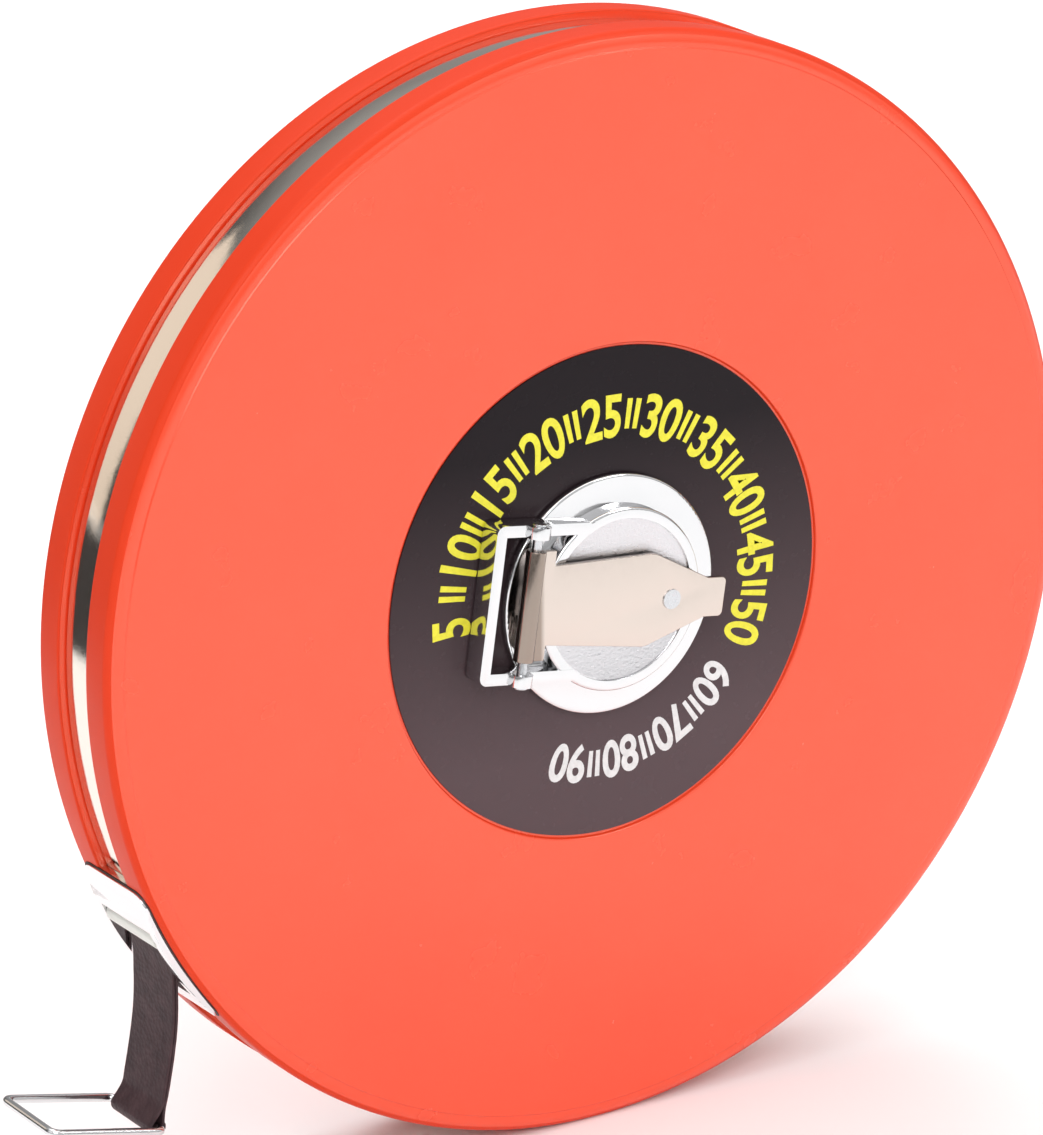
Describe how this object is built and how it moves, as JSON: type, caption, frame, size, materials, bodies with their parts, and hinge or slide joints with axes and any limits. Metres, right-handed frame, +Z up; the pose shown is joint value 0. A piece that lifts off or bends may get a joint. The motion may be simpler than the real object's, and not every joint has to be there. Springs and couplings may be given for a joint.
{
  "type": "long tape measure",
  "caption": "Long measuring tape in a closed round case, with a fold-out winding crank, a chromed rim band and mouthpiece, and a strap with a wire ring on the tape's end.",
  "frame": {"origin": "centre of the flat back face, on the reel's axis", "axes": "+Z up with the case standing on its rim, +Y out of the back face along the reel's axis, so the crank is on the -Y side and the tape's mouth is low on the -X side"},
  "size_m": [0.1775, 0.0266, 0.168],
  "materials": {
    "case_red": "smooth moulded shell, soft gloss",
    "bright_chrome": "polished chrome plate",
    "label_black": "printed gloss film",
    "drum_white": "moulded, natural white",
    "tape_yellow": "PVC-coated fibreglass, satin",
    "zinc_steel": "zinc plated",
    "bearing_nylon": "natural nylon",
    "knob_black": "moulded, satin",
    "strap_black": "grained coated fabric",
    "ring_wire": "bright plated wire"
  },
  "bodies": {
    "case": {"front_cover": "case_red", "back_cover": "case_red", "rim_band": "bright_chrome", "mouthpiece": "bright_chrome", "roller_pins": "zinc_steel", "front_label": "label_black", "front_bush": "bearing_nylon", "back_bush": "bearing_nylon", "thrust_washer": "bearing_nylon"},
    "outer_roller": {"mouth_roller_outer": "bearing_nylon"},
    "inner_roller": {"mouth_roller_inner": "bearing_nylon"},
    "reel": {"reel_core": "drum_white", "reel_flange_front": "drum_white", "reel_flange_back": "drum_white", "wound_tape": "tape_yellow", "tape_anchor_pin": "zinc_steel", "spindle": "zinc_steel", "wave_washer": "zinc_steel", "back_washer": "zinc_steel", "back_screw": "zinc_steel", "crank_base": "bright_chrome", "hinge_pin": "zinc_steel"},
    "crank": {"crank_arm": "bright_chrome", "knob_pin": "zinc_steel"},
    "knob": {"knob": "knob_black"},
    "tape_end": {"tape_run": "tape_yellow", "end_strap": "strap_black"},
    "ring": {"end_ring": "ring_wire"}
  },
  "joints": [
    {"name": "reel_spin", "type": "hinge", "parent": "case", "child": "reel", "pos_m": [0, 0, 0], "axis": [0, 1, 0], "continuous": true},
    {"name": "crank_fold", "type": "hinge", "parent": "reel", "child": "crank", "pos_m": [-0.01633, -0.02485, 0.00235], "axis": [-0.1426, 0, -0.9898], "range_deg": [0, 180]},
    {"name": "knob_spin", "type": "hinge", "parent": "crank", "child": "knob", "pos_m": [0.00831, -0.02075, -0.0012], "axis": [0, -1, 0], "continuous": true},
    {"name": "outer_roller_spin", "type": "hinge", "parent": "case", "child": "outer_roller", "pos_m": [-0.07407, -0.0103, -0.03918], "axis": [0, 1, 0], "continuous": true},
    {"name": "inner_roller_spin", "type": "hinge", "parent": "case", "child": "inner_roller", "pos_m": [-0.0698, -0.0103, -0.04392], "axis": [0, 1, 0], "continuous": true},
    {"name": "tape_pull", "type": "slide", "parent": "case", "child": "tape_end", "axis": [0.1336, 0, -0.991], "range_m": [0, 0.03]},
    {"name": "ring_swing", "type": "hinge", "parent": "tape_end", "child": "ring", "pos_m": [-0.0748, -0.0103, -0.0687], "axis": [0, 1, 0], "range_deg": [-125, 60]}
  ]
}
